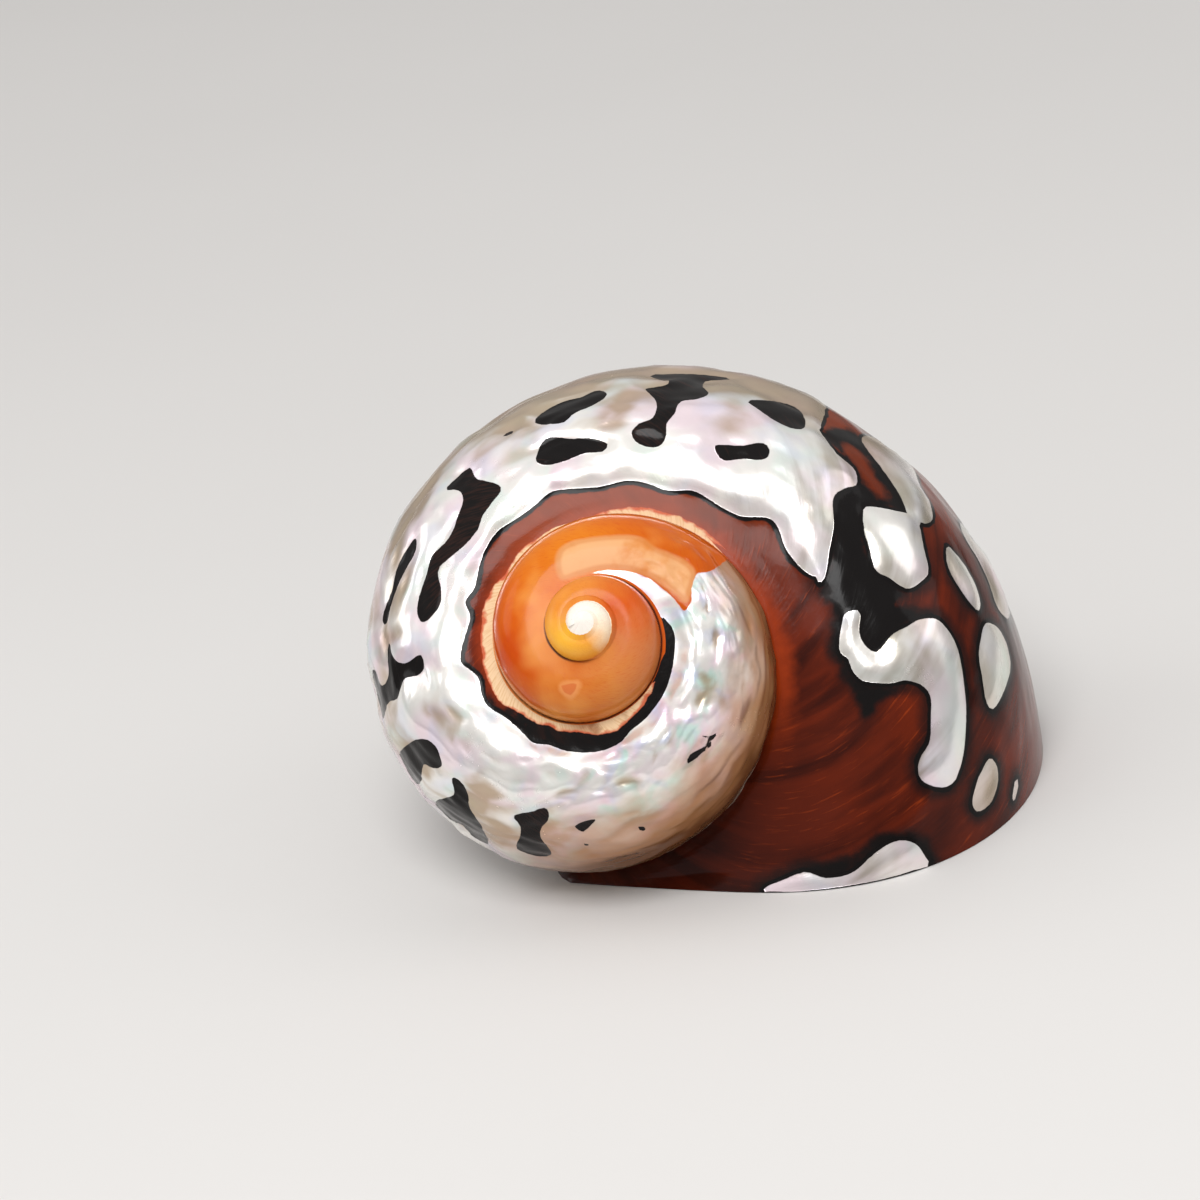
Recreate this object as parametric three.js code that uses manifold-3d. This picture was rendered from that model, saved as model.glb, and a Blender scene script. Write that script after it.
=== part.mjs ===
// A turban shell: one coiled, hollow body that rests mouth down on its flat ground lip.
// Millimetres, +Z up, the tip leaning towards -Y.
import * as THREE from "three";
import { mergeVertices } from "three/addons/utils/BufferGeometryUtils.js";
import Module from "manifold-3d";

// Growth of the coil, sizes at turn zero
const GROWTH_PER_TURN = 2.483;
const FIRST_TURN_DEG = -1269;
const LIP_TURN_DEG = 131;
const STRETCH_DEG = 200;

// Cross-section of the whorl, measured from the coiling axis and from the tip
const SECTION_RADIUS = 27.2;
const SECTION_DEPTH = 49.2;
const REACH_OUT = 21.8;
const REACH_IN = 26.5;
const REACH_UP = 28.9;
const REACH_DOWN = 22.6;
const OUTER_SQUARENESS = 2.3;
const INNER_SQUARENESS = 3.4;

// The last part of the whorl comes down the axis before it ends at the lip
const LIP_DROP = 6.8;
const DROP_FROM_DEG = 10;
const DROP_TO_DEG = 125;

// The end of the whorl is rounded off where the lip joins the whorl before it
const LIP_ROUND = 4;
const LIP_ROUND_DEG = 14;

// The hollow behind the mouth
const WALL = 3.0;
const HOLLOW_FROM_DEG = -222;
const HOLLOW_TO_DEG = 146;
const HOLLOW_STRETCH_DEG = 184;

// The pillar that fills the axis and ends in a rounded pad, and the rounded tip
const PILLAR_RADIUS = 6.0;
const PILLAR_TOP_RADIUS = 0.8;
const PILLAR_FULL_DEPTH = 26;
const PAD_DEPTH = 42;
const PILLAR_LENGTH = 63;
const PILLAR_SIDES = 20;
const PAD_POINTS = 6;
const TIP_RADIUS = 1.5;
const TIP_DEPTH = 2.1;

// How the shell lies
const LEAN_DEG = 53.7;
const HEADING_DEG = -99.2;
const COIL_PHASE_DEG = 101.2;
const TIP_HEIGHT = 41.4;

// Fineness of the facets
const STEP_DEG = 10;
const SECTION_POINTS = 32;
const PLUG_DEG = 4;
const PLUG_INSET = 6;
const GROUND_BOX = 400;

const wasm = await Module();
wasm.setup();

function radians(degrees) {
  return THREE.MathUtils.degToRad(degrees);
}

// Signed power of a cosine or sine, which gives the rounded square of the section.
function rounded(value, squareness) {
  return Math.sign(value) * Math.pow(Math.abs(value), 2 / squareness);
}

// A point of the whorl at a turn of the coil and an angle round the section.
// The inset moves it inwards, for the hollow.
function whorlPoint(turnDeg, aroundRad, inset) {
  const growth = Math.pow(GROWTH_PER_TURN, turnDeg / 360);
  const squareness = Math.cos(aroundRad) > 0 ? OUTER_SQUARENESS : INNER_SQUARENESS;
  const across = rounded(Math.cos(aroundRad), squareness);
  const down = rounded(Math.sin(aroundRad), squareness);
  const ending = THREE.MathUtils.clamp((turnDeg - LIP_TURN_DEG) / LIP_ROUND_DEG + 1, 0, 1);
  const shrink = inset + LIP_ROUND * ending * ending;
  const sideways = (across > 0 ? REACH_OUT : REACH_IN) - shrink;
  const lengthways = (down > 0 ? REACH_DOWN : REACH_UP) - shrink;
  const radius = growth * (SECTION_RADIUS + sideways * across);
  const depth = growth * (SECTION_DEPTH + lengthways * down);
  const drop = LIP_DROP * THREE.MathUtils.smoothstep(turnDeg, DROP_FROM_DEG, DROP_TO_DEG);
  const bearing = -radians(turnDeg);
  return [radius * Math.cos(bearing), radius * Math.sin(bearing), -depth - drop];
}

// A closed stretch of the coil, with a flat face at each end.
// Its first ring is a smaller plug, which sits inside the stretch before it.
function coilGeometry(fromDeg, toDeg, inset) {
  const rows = 1 + Math.round((toDeg - fromDeg) / STEP_DEG);
  const positions = [];
  const faces = [];
  for (let row = 0; row <= rows; row += 1) {
    const isPlug = row === 0;
    const turn = isPlug ? fromDeg - PLUG_DEG : fromDeg + ((toDeg - fromDeg) * (row - 1)) / (rows - 1);
    const ringInset = isPlug ? inset + PLUG_INSET : inset;
    for (let i = 0; i < SECTION_POINTS; i += 1) {
      positions.push(...whorlPoint(turn, (2 * Math.PI * i) / SECTION_POINTS, ringInset));
    }
  }
  for (let row = 0; row < rows; row += 1) {
    for (let i = 0; i < SECTION_POINTS; i += 1) {
      const next = (i + 1) % SECTION_POINTS;
      const a = row * SECTION_POINTS + i;
      const b = row * SECTION_POINTS + next;
      const c = a + SECTION_POINTS;
      const d = b + SECTION_POINTS;
      faces.push(a, c, b, b, c, d);
    }
  }
  const last = rows * SECTION_POINTS;
  for (let i = 1; i < SECTION_POINTS - 1; i += 1) {
    faces.push(0, i, i + 1);
    faces.push(last, last + i + 1, last + i);
  }
  const geometry = new THREE.BufferGeometry();
  geometry.setAttribute("position", new THREE.Float32BufferAttribute(positions, 3));
  geometry.setIndex(faces);
  return geometry;
}

function solid(geometry) {
  geometry.deleteAttribute("normal");
  geometry.deleteAttribute("uv");
  const merged = mergeVertices(geometry, 1e-4);
  return new wasm.Manifold(
    new wasm.Mesh({
      numProp: 3,
      vertProperties: merged.attributes.position.array,
      triVerts: new Uint32Array(merged.index.array),
    }),
  );
}

// A stretch is less than a turn, so that it never meets itself, and no two end on the same side
const whorls = [];
for (let from = FIRST_TURN_DEG; from < LIP_TURN_DEG; from += STRETCH_DEG) {
  const to = from + STRETCH_DEG;
  whorls.push({ to, body: solid(coilGeometry(from, to, 0)) });
}

// The pillar on the axis and the rounded tip
const pillarProfile = [];
for (let i = 0; i <= PAD_POINTS; i += 1) {
  const angle = (Math.PI / 2) * (i / PAD_POINTS);
  const depth = PAD_DEPTH + (PILLAR_LENGTH - PAD_DEPTH) * Math.cos(angle);
  pillarProfile.push(new THREE.Vector2(i === 0 ? 0 : PILLAR_RADIUS * Math.sin(angle), -depth));
}
pillarProfile.push(new THREE.Vector2(PILLAR_RADIUS, -PILLAR_FULL_DEPTH));
pillarProfile.push(new THREE.Vector2(PILLAR_TOP_RADIUS, -TIP_DEPTH));
pillarProfile.push(new THREE.Vector2(0, -TIP_DEPTH));
const pillar = new THREE.LatheGeometry(pillarProfile, PILLAR_SIDES).rotateX(Math.PI / 2);
const tip = new THREE.SphereGeometry(TIP_RADIUS, 16, 10).translate(0, 0, -TIP_DEPTH);

let body = solid(pillar).add(solid(tip));
for (const whorl of whorls) {
  body = body.add(whorl.body);
}

// The hollow leaves the walls of the earlier whorls standing
const hollows = [];
for (let from = HOLLOW_FROM_DEG; from < HOLLOW_TO_DEG; from += HOLLOW_STRETCH_DEG) {
  let hollow = solid(coilGeometry(from, from + HOLLOW_STRETCH_DEG, WALL));
  for (const whorl of whorls) {
    if (whorl.to < from) {
      hollow = hollow.subtract(whorl.body);
    }
  }
  hollows.push(hollow);
}
body = body.subtract(hollows.reduce((joined, hollow) => joined.add(hollow)));

// Lay the shell down, grind the lip flat on the ground and centre it
const lie = new THREE.Matrix4()
  .makeTranslation(0, 0, TIP_HEIGHT)
  .multiply(new THREE.Matrix4().makeRotationZ(radians(HEADING_DEG)))
  .multiply(new THREE.Matrix4().makeRotationY(radians(LEAN_DEG)))
  .multiply(new THREE.Matrix4().makeRotationZ(radians(COIL_PHASE_DEG)));
const below = new THREE.BoxGeometry(GROUND_BOX, GROUND_BOX, GROUND_BOX).translate(0, 0, -GROUND_BOX / 2);
body = body.transform(lie.toArray()).subtract(solid(below));

const mesh = body.getMesh();
const shellGeometry = new THREE.BufferGeometry();
shellGeometry.setAttribute("position", new THREE.BufferAttribute(mesh.vertProperties, 3));
shellGeometry.setIndex(new THREE.BufferAttribute(mesh.triVerts, 1));
shellGeometry.computeBoundingBox();
const middle = shellGeometry.boundingBox.getCenter(new THREE.Vector3());
shellGeometry.translate(-middle.x, -middle.y, 0);
shellGeometry.computeVertexNormals();

const shell = new THREE.Mesh(
  shellGeometry,
  new THREE.MeshStandardMaterial({ color: 0x6b3a22, roughness: 0.18, metalness: 0.0 }),
);
shell.name = "shell";

const part = new THREE.Group();
part.add(shell);
export default part;
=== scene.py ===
import math

import bmesh
import bpy
import numpy as np
from mathutils import Matrix, Vector
from mathutils.bvhtree import BVHTree
from mathutils.interpolate import poly_3d_calc
from mathutils.kdtree import KDTree


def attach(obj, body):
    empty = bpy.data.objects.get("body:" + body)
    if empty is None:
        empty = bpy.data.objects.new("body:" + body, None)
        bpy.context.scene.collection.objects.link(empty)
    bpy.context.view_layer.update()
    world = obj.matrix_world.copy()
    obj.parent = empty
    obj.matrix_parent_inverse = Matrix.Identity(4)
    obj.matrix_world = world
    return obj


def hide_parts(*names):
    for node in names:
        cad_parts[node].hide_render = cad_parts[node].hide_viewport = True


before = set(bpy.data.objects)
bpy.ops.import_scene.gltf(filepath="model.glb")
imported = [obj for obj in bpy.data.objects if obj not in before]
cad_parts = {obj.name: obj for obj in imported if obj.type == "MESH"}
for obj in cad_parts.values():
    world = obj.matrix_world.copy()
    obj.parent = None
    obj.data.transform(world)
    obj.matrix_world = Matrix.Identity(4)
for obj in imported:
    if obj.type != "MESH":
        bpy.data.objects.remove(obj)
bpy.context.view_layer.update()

# Camera
# It looks at the spire from a little above, tilted, through a long lens.
# It comes first because the markings are laid on the shell through it.
picture_px = 1200
middle_px = picture_px / 2
sensor_mm = 36.0
lens_mm = 126.0
camera_height = math.radians(22.2)
camera_tilt = math.radians(-9.8)
camera_distance = 0.504
tip_place = Vector((-0.0144167, -0.0309507, 0.0414))
tip_px = (580.8, 618.5)

upward = Vector((0, math.sin(camera_height), math.cos(camera_height)))
towards_camera = Vector((0, -math.cos(camera_height), math.sin(camera_height)))
picture_right = Vector((math.cos(camera_tilt), 0, 0)) + math.sin(camera_tilt) * upward
picture_up = Vector((-math.sin(camera_tilt), 0, 0)) + math.cos(camera_tilt) * upward
metres_per_px = camera_distance * sensor_mm / lens_mm / picture_px
camera_place = (
    tip_place
    + camera_distance * towards_camera
    + (middle_px - tip_px[0]) * metres_per_px * picture_right
    + (tip_px[1] - middle_px) * metres_per_px * picture_up
)
camera_turn = Matrix((picture_right, picture_up, towards_camera)).transposed()
camera_data = bpy.data.cameras.new("camera")
camera_data.lens = lens_mm
camera_data.sensor_width = sensor_mm
camera = bpy.data.objects.new("camera", camera_data)
camera.matrix_world = Matrix.Translation(camera_place) @ camera_turn.to_4x4()
bpy.context.collection.objects.link(camera)
bpy.context.scene.camera = camera
bpy.context.scene.view_settings.view_transform = "Standard"

# Shell body
# One coiled tube of aragonite, laid down line by line at the lip and turning round an axis.
# It widens by the same factor each turn, its lip is ground flat, and low cords and bulges run round it.
shell_sizes = {
    "Growth per turn": 2.483,
    "First turn": -1269.0,
    "Last turn": 131.0,
    "Section radius": 0.0272,
    "Section depth": 0.0492,
    "Reach out": 0.0218,
    "Reach in": 0.0265,
    "Reach up": 0.0289,
    "Reach down": 0.0226,
    "Outer squareness": 2.3,
    "Inner squareness": 3.4,
    "Lip drop": 0.0068,
    "Drop from": 10.0,
    "Drop to": 125.0,
    "Lip round": 0.004,
    "Lip round turn": 14.0,
    "Wall": 0.003,
    "Lean": 53.7,
    "Heading": -99.2,
    "Coil phase": 101.2,
    "Tip x": tip_place.x,
    "Tip y": tip_place.y,
    "Tip height": tip_place.z,
    "Seam start": -114.0,
    "Rim": 0.0,
    "Pillar side": 229.0,
    "Cord height": 0.00018,
    "Cord spacing": 28.0,
    "Bulge height": 0.0020,
    "Bulge turn": 13.0,
    "Bulge across": 16.0,
    "Ridge height": 0.00044,
    "Ridge turn": 11.0,
    "Ridge across": 9.0,
    "Spire end": -415.0,
    "Tip radius": 0.0042,
    "Tip slope": 0.735,
    "Tip round": 0.0006,
    "Pillar top": 0.0021,
    "Pillar radius": 0.0062,
    "Pillar full depth": 0.026,
    "Pad depth": 0.044,
    "Pillar length": 0.070,
    "Seed": 4.0,
}
shell_counts = {"Growth lines": 540, "Points outside": 78, "Points base": 56, "Points inside": 28}
shell = bpy.data.objects.new("shell_body", bpy.data.meshes.new("shell_body"))
bpy.context.collection.objects.link(shell)
shell_finish = bpy.data.materials.new("polished_shell")


class Amount:
    """A number in a node tree, so that the sums in it read as sums."""

    def __init__(self, tree, socket):
        self.tree = tree
        self.socket = socket

    def reckon(self, operation, *others, clamp=False):
        slots = dict(enumerate((self, *others)))
        node = node_of(self.tree, "ShaderNodeMath", slots, operation=operation, use_clamp=clamp)
        return Amount(self.tree, node.outputs[0])

    def __add__(self, other):
        return self.reckon("ADD", other)

    def __sub__(self, other):
        return self.reckon("SUBTRACT", other)

    def __mul__(self, other):
        return self.reckon("MULTIPLY", other)

    def __truediv__(self, other):
        return self.reckon("DIVIDE", other)

    def __pow__(self, other):
        return self.reckon("POWER", other)

    def above(self, other):
        return self.reckon("GREATER_THAN", other)

    def share(self, start, end):
        """How far it is from start to end, held between nought and one."""
        return (self - start).reckon("DIVIDE", end - start, clamp=True)

    def eased(self, start, end):
        """The same, slow at both ends."""
        way = self.share(start, end)
        return way * way * (way * -2.0 + 3.0)

    def cosine(self):
        return self.reckon("RADIANS").reckon("COSINE")

    def sine(self):
        return self.reckon("RADIANS").reckon("SINE")


def unless(amount):
    return amount * -1.0 + 1.0


def feed(tree, slot, value):
    """Links an amount or another node's socket to a slot, or sets the slot to a plain value."""
    source = value.socket if isinstance(value, Amount) else value
    if isinstance(source, bpy.types.NodeSocket):
        tree.links.new(source, slot)
    else:
        slot.default_value = source


def node_of(tree, kind, slots=None, **settings):
    """A new node with its settings, and with its slots fed by name or by number."""
    node = tree.nodes.new(kind)
    for name, value in settings.items():
        setattr(node, name, value)
    for slot, value in (slots or {}).items():
        feed(tree, node.inputs[slot], value)
    return node


def vector_of(tree, x, y, z):
    return node_of(tree, "ShaderNodeCombineXYZ", {"X": x, "Y": y, "Z": z}).outputs[0]


def mottle(tree, place, scale, detail=2.0, distortion=0.0):
    """Cloudy noise round nought point five."""
    slots = {"Vector": place, "Scale": scale, "Detail": detail, "Distortion": distortion}
    return Amount(tree, node_of(tree, "ShaderNodeTexNoise", slots).outputs[0])


coil = bpy.data.node_groups.new("shell_coil", "GeometryNodeTree")
coil.interface.new_socket("Shell", in_out="OUTPUT", socket_type="NodeSocketGeometry")
size_slots = {}
for kind, names in (("Float", shell_sizes), ("Int", shell_counts), ("Material", ["Finish"])):
    for name in names:
        socket_type = "NodeSocket" + kind
        size_slots[name] = coil.interface.new_socket(name, in_out="INPUT", socket_type=socket_type)
coil_entry = node_of(coil, "NodeGroupInput")
given = {name: Amount(coil, coil_entry.outputs[name]) for name in (*shell_sizes, *shell_counts)}


def whorl_section(turn, across, inset):
    """Distance from the axis and depth below the tip of a point of the whorl."""
    size = given["Growth per turn"] ** (turn / 360.0)
    out, down = across.cosine(), across.sine()
    outer = out.above(0.0)
    inner_squareness = given["Inner squareness"]
    squareness = inner_squareness + (given["Outer squareness"] - inner_squareness) * outer
    powers = out.reckon("ABSOLUTE") ** squareness + down.reckon("ABSOLUTE") ** squareness
    fullness = powers ** (squareness ** -1.0 * -1.0)
    ending = ((turn - given["Last turn"]) / given["Lip round turn"]).reckon("ADD", 1.0, clamp=True)
    shrink = inset + given["Lip round"] * ending * ending
    sideways = given["Reach in"] + (given["Reach out"] - given["Reach in"]) * outer - shrink
    lengthways = given["Reach up"] + (given["Reach down"] - given["Reach up"]) * down.above(0.0) - shrink
    radius = size * (given["Section radius"] + sideways * fullness * out)
    drop = given["Lip drop"] * turn.eased(given["Drop from"], given["Drop to"])
    depth = size * (given["Section depth"] + lengthways * fullness * down) + drop
    return radius, depth


def height_over_ground(turn, radius, depth):
    swing = (given["Coil phase"] - turn).cosine() * radius
    return given["Tip height"] - given["Lean"].sine() * swing - given["Lean"].cosine() * depth


def stored(shape, name, amount):
    slots = {"Geometry": shape, "Name": name, "Value": amount}
    node = node_of(coil, "GeometryNodeStoreNamedAttribute", slots, data_type="FLOAT", domain="POINT")
    return node.outputs["Geometry"]


def recalled(name):
    node = node_of(coil, "GeometryNodeInputNamedAttribute", {"Name": name}, data_type="FLOAT")
    return Amount(coil, node.outputs["Attribute"])


# Each ring of points is a growth line.
# It runs along the outside of the wall from the seam to the pillar, and back along its inside.
points_round = given["Points outside"] + given["Points base"] + given["Points inside"] + 1.0
tube_slots = {"Vertices": points_round, "Side Segments": given["Growth lines"]}
tube = node_of(coil, "GeometryNodeMeshCylinder", tube_slots, fill_type="NGON")
index = Amount(coil, node_of(coil, "GeometryNodeInputIndex").outputs[0])
line = ((index + 0.5) / points_round).reckon("FLOOR")
spot = index - line * points_round
base_start = given["Points outside"]
wall_end = base_start + given["Points base"]
inside = spot.above(wall_end + 0.5)
across = (
    given["Seam start"]
    + (given["Rim"] - given["Seam start"]) * spot.share(0.0, base_start)
    + (given["Pillar side"] - given["Rim"]) * spot.share(base_start, wall_end)
    + (given["Seam start"] - given["Pillar side"]) * spot.share(wall_end + 1.0, points_round - 1.0)
)
wall_inset = inside * given["Wall"]

# The lip is where the whorl meets the ground, found by a search that halves its step each round
search_middle, search_step, search_rounds = 35.5, 47.75, 16
started = stored(tube.outputs["Mesh"], "lip_turn", search_middle)
started = stored(started, "lip_step", search_step)
search_in = node_of(coil, "GeometryNodeRepeatInput")
search_out = node_of(coil, "GeometryNodeRepeatOutput")
search_in.pair_with_output(search_out)
feed(coil, search_in.inputs["Iterations"], search_rounds)
feed(coil, search_in.inputs["Geometry"], started)
tried = recalled("lip_turn")
tried_height = height_over_ground(tried, *whorl_section(tried, across, wall_inset))
onward = tried + recalled("lip_step") * (tried_height.above(0.0) * 2.0 - 1.0)
halved = stored(search_in.outputs["Geometry"], "lip_turn", onward)
halved = stored(halved, "lip_step", recalled("lip_step") * 0.5)
feed(coil, search_out.inputs["Geometry"], halved)

# Growth lines lie closer together towards the lip, and the wall by the pillar ends short of it
pillar_short = 35.0
crowding = 0.4
furthest_turn = given["Last turn"] - across.eased(150.0, 185.0) * pillar_short
lip_turn = recalled("lip_turn").reckon("MINIMUM", furthest_turn)
ahead = unless(line / given["Growth lines"])
behind_lip = (ahead * crowding + ahead * ahead * (1.0 - crowding)) * (lip_turn - given["First turn"])
turn = lip_turn - behind_lip

# Cords, bulges and ridges, which fade at the lip, at the seam, on the spire and in the brown
bulge_place = vector_of(coil, turn / given["Bulge turn"], across / given["Bulge across"], given["Seed"])
bulge = mottle(coil, bulge_place, 1.0, detail=0.6) - 0.5
cord_sway = bulge * 160.0
cord = (across * 360.0 / given["Cord spacing"] + cord_sway).cosine()
ridge_seed = given["Seed"] + 3.0
ridge_place = vector_of(coil, turn / given["Ridge turn"], across / given["Ridge across"], ridge_seed)
ridge_cloud = mottle(coil, ridge_place, 1.0, detail=0.0, distortion=0.4) - 0.5
ridge = unless(ridge_cloud.reckon("ABSOLUTE") * 4.0) - 0.6
relief = cord * given["Cord height"] + bulge * given["Bulge height"] + ridge * given["Ridge height"]
relief = relief * unless(inside)
relief = relief * behind_lip.eased(0.0, 9.0) * across.eased(-102.0, -80.0)
relief = relief * unless(turn.eased(-60.0, 10.0) * 0.75)
relief = relief * turn.eased(given["Spire end"], given["Spire end"] + 30.0)
relief = relief * unless(turn.eased(-360.0, -200.0) * 0.3)
radius, depth = whorl_section(turn, across, wall_inset - relief)
bearing = given["Coil phase"] - turn
leaning = given["Lean"].cosine() * (radius * bearing.cosine()) - given["Lean"].sine() * depth
sideward = radius * bearing.sine()
coil_place = vector_of(
    coil,
    leaning * given["Heading"].cosine() - sideward * given["Heading"].sine() + given["Tip x"],
    leaning * given["Heading"].sine() + sideward * given["Heading"].cosine() + given["Tip y"],
    height_over_ground(turn, radius, depth).reckon("MAXIMUM", 0.0),
)
kept = search_out.outputs["Geometry"]
coil_measures = {
    "turn": turn,
    "across": across,
    "behind_lip": behind_lip,
    "relief": relief * 1000.0,
    "inside": inside,
    "extra": 0.0,
}
for attribute, amount in coil_measures.items():
    kept = stored(kept, attribute, amount)
placed = node_of(coil, "GeometryNodeSetPosition", {"Geometry": kept, "Position": coil_place})


def turned_piece(lines, points, radius_of, depth_of, measures):
    """A piece turned round the axis, with its radius and its depth as functions of the way along it."""
    blank_slots = {"Vertices": points, "Side Segments": lines}
    blank = node_of(coil, "GeometryNodeMeshCylinder", blank_slots, fill_type="NGON")
    line = ((index + 0.5) / points).reckon("FLOOR")
    angle = (index - line * points) * (-360.0 / points)
    way = line / lines
    radius, depth = radius_of(way), depth_of(way)
    shape = blank.outputs["Mesh"]
    for name, amount in measures(radius, angle).items():
        shape = stored(shape, name, amount)
    upright = vector_of(coil, radius * angle.cosine(), radius * angle.sine(), depth * -1.0)
    turned = node_of(coil, "GeometryNodeSetPosition", {"Geometry": shape, "Position": upright})
    lean_turns = [given[name].reckon("RADIANS") for name in ("Lean", "Heading")]
    lean_slots = {
        "Geometry": turned.outputs["Geometry"],
        "Rotation": vector_of(coil, 0.0, *lean_turns),
        "Translation": vector_of(coil, given["Tip x"], given["Tip y"], given["Tip height"]),
    }
    leaned = node_of(coil, "GeometryNodeTransform", lean_slots)
    lowest = (-1.0, -1.0, 0.0)
    place = node_of(coil, "GeometryNodeInputPosition").outputs[0]
    lifted = node_of(coil, "ShaderNodeVectorMath", {0: place, 1: lowest}, operation="MAXIMUM")
    ground_slots = {"Geometry": leaned.outputs["Geometry"], "Position": lifted.outputs[0]}
    grounded = node_of(coil, "GeometryNodeSetPosition", ground_slots)
    merge_distance = 0.00002
    merge_slots = {"Geometry": grounded.outputs["Geometry"], "Distance": merge_distance}
    return node_of(coil, "GeometryNodeMergeByDistance", merge_slots).outputs["Geometry"]


# The first whorl, a smooth cap at the tip whose rim dips under the coil
def cap_radius(way):
    return given["Tip radius"] * way


def cap_depth(way):
    radius, rounding = cap_radius(way), given["Tip round"]
    cone = given["Tip slope"] * (radius * radius + rounding * rounding).reckon("SQRT")
    rim_dip, dip_from = 0.001, 0.78
    return cone + way.eased(dip_from, 1.0) * rim_dip


def cap_measures(radius, angle):
    """The turn jumps by a whole one at the seam, which winds in to the middle."""
    seam_share, least_share = 0.7236, 0.02
    share = (radius / given["Section radius"]).reckon("MAXIMUM", least_share) / seam_share
    reached = share.reckon("LOGARITHM", given["Growth per turn"]) * 360.0
    start = given["Coil phase"] - angle
    cap_turn = start + ((reached - start) / 360.0).reckon("FLOOR") * 360.0
    return {"turn": cap_turn, "across": -90.0, "inside": 0.0, "extra": 1.0}


# The pillar, which fills the axis and ends in a rounded pad
def pillar_depth(way):
    return given["Pillar top"] + (given["Pillar length"] - given["Pillar top"]) * way


def pillar_radius(way):
    depth = pillar_depth(way)
    pad = depth.share(given["Pad depth"], given["Pillar length"])
    widening = depth.share(0.0, given["Pillar full depth"])
    return given["Pillar radius"] * unless(pad * pad).reckon("SQRT") * widening


def pillar_measures(radius, angle):
    return {"turn": given["First turn"], "across": -90.0, "inside": 1.0, "extra": 1.0}


extras = [
    turned_piece(64, 72, cap_radius, cap_depth, cap_measures),
    turned_piece(40, 48, pillar_radius, pillar_depth, pillar_measures),
]

joined = node_of(coil, "GeometryNodeJoinGeometry")
for shape in (placed.outputs["Geometry"], *extras):
    feed(coil, joined.inputs[0], shape)
realized = node_of(coil, "GeometryNodeRealizeInstances", {0: joined.outputs[0]})
finish_slots = {"Geometry": realized.outputs[0], "Material": coil_entry.outputs["Finish"]}
finished = node_of(coil, "GeometryNodeSetMaterial", finish_slots)
node_of(coil, "NodeGroupOutput", {0: finished.outputs["Geometry"]})

growing = shell.modifiers.new("coil", "NODES")
growing.node_group = coil
for size_name, size_value in {**shell_sizes, **shell_counts, "Finish": shell_finish}.items():
    growing[size_slots[size_name].identifier] = size_value
graph = bpy.context.evaluated_depsgraph_get()
shell_mesh = bpy.data.meshes.new_from_object(shell.evaluated_get(graph), depsgraph=graph)
shell.modifiers.remove(growing)
shell.data = shell_mesh

# Each end of the tube is closed by a strip from the outside of the wall to its inside
rim_column = shell_counts["Points outside"]
pillar_column = rim_column + shell_counts["Points base"]
inner_points = shell_counts["Points inside"]
ring_points = pillar_column + 1 + inner_points
growth_lines = shell_counts["Growth lines"] + 1
wall = bmesh.new()
wall.from_mesh(shell_mesh)
wall_ends = [face for face in wall.faces if len(face.verts) == ring_points]
across_of = wall.verts.layers.float["across"]
strips = []
for end in wall_ends:
    ring = sorted(end.verts, key=lambda vertex: vertex.index)
    first_loop = end.loops[0]
    facing_back = (first_loop.link_loop_next.vert.index - first_loop.vert.index) % ring_points != 1
    outer, inner = ring[:-inner_points], ring[: -inner_points - 1 : -1]
    here, there = 0, 0
    while here < len(outer) - 1 or there < len(inner) - 1:
        inner_done = there == len(inner) - 1
        outer_next = outer[min(here + 1, len(outer) - 1)]
        if inner_done or outer_next[across_of] < inner[there + 1][across_of]:
            corners = [outer[here], outer[here + 1], inner[there]]
            here += 1
        else:
            corners = [outer[here], inner[there + 1], inner[there]]
            there += 1
        strips.append(corners[::-1] if facing_back else corners)
bmesh.ops.delete(wall, geom=wall_ends, context="FACES_ONLY")
for corners in strips:
    wall.faces.new(corners)
wall.to_mesh(shell_mesh)
wall.free()
shell_mesh.polygons.foreach_set("use_smooth", [True] * len(shell_mesh.polygons))
sharp_angle = math.radians(50)
shell_mesh.set_sharp_from_angle(angle=sharp_angle)

# Where each vertex lies: the turn of the coil and the angle round the section
places = np.empty(3 * len(shell_mesh.vertices), np.float32)
shell_mesh.vertices.foreach_get("co", places)
places = places.reshape(-1, 3)


def read_from_shell(name):
    values = np.empty(len(places), np.float32)
    shell_mesh.attributes[name].data.foreach_get("value", values)
    return values


def write_on_shell(name, values):
    shell_mesh.attributes.new(name, "FLOAT", "POINT").data.foreach_set("value", values.astype(np.float32))


turns, acrosses = read_from_shell("turn"), read_from_shell("across")
is_extra = read_from_shell("extra") > 0.5
outside = np.flatnonzero((read_from_shell("inside") < 0.5) & ~is_extra)
coil_first = int(np.argmin(is_extra))
coil_grid = slice(coil_first, coil_first + growth_lines * ring_points)
grid_places = places[coil_grid].reshape(growth_lines, ring_points, 3)
grid_turns = turns[coil_grid].reshape(growth_lines, ring_points)


def place_at(turn, across):
    """The point on the outside of the shell at a turn and an angle round the section."""
    stops = [shell_sizes["Seam start"], shell_sizes["Rim"], shell_sizes["Pillar side"]]
    column = float(np.interp(across, stops, [0, rim_column, pillar_column]))
    ends = []
    for side in (int(column), min(int(column) + 1, pillar_column)):
        row = float(np.interp(turn, grid_turns[:, side], np.arange(growth_lines)))
        below = min(int(row), growth_lines - 2)
        start, end = grid_places[below : below + 2, side]
        ends.append(start + (row - below) * (end - start))
    return ends[0] + (column - int(column)) * (ends[1] - ends[0])


surface = BVHTree.FromPolygons(places.tolist(), [tuple(face.vertices) for face in shell_mesh.polygons])


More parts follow.
